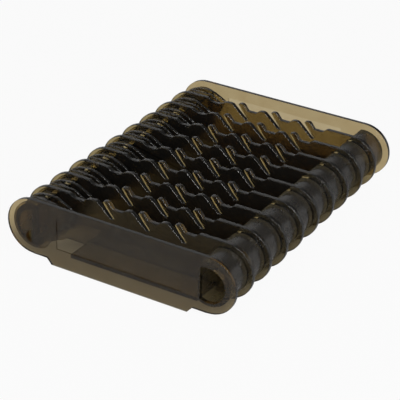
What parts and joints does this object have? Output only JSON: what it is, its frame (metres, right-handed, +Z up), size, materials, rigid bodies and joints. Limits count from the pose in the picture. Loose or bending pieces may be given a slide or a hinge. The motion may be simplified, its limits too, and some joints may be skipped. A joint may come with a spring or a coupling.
{
  "type": "leader rack",
  "caption": "Flat see-through rack of two D-section spool tubes between skirted end plates, with hook-slotted dividers and line-grip fins that keep wound fishing leaders apart.",
  "frame": {"origin": "middle of the rack's resting plane, under the skirts of the two end plates", "axes": "+Z up, +Y along the spool tubes from the front end plate to the rear one, +X across from the left tube, which carries the fins, to the right tube"},
  "size_m": [0.1552, 0.2018, 0.0413],
  "materials": {
    "smoke_plastic": "glossy, see-through smoke plastic",
    "smoke_plastic_plate": "glossy, see-through smoke plastic, single layer",
    "smoke_plastic_tube": "glossy, see-through smoke plastic, dark where it doubles up"
  },
  "bodies": {
    "root": {"front_end_plate": "smoke_plastic_plate", "rear_end_plate": "smoke_plastic_plate", "left_spool_tube": "smoke_plastic_tube", "right_spool_tube": "smoke_plastic_tube", "floor_web": "smoke_plastic", "divider_01": "smoke_plastic", "divider_02": "smoke_plastic", "divider_03": "smoke_plastic", "divider_04": "smoke_plastic", "divider_05": "smoke_plastic", "divider_06": "smoke_plastic", "divider_07": "smoke_plastic", "divider_08": "smoke_plastic", "divider_09": "smoke_plastic", "line_grip_01": "smoke_plastic", "guide_fin_01": "smoke_plastic", "line_grip_02": "smoke_plastic", "guide_fin_02": "smoke_plastic", "line_grip_03": "smoke_plastic", "guide_fin_03": "smoke_plastic", "line_grip_04": "smoke_plastic", "guide_fin_04": "smoke_plastic", "line_grip_05": "smoke_plastic", "guide_fin_05": "smoke_plastic", "line_grip_06": "smoke_plastic", "guide_fin_06": "smoke_plastic", "line_grip_07": "smoke_plastic", "guide_fin_07": "smoke_plastic", "line_grip_08": "smoke_plastic", "guide_fin_08": "smoke_plastic", "line_grip_09": "smoke_plastic", "guide_fin_09": "smoke_plastic", "line_grip_10": "smoke_plastic", "guide_fin_10": "smoke_plastic"}
  },
  "joints": []
}
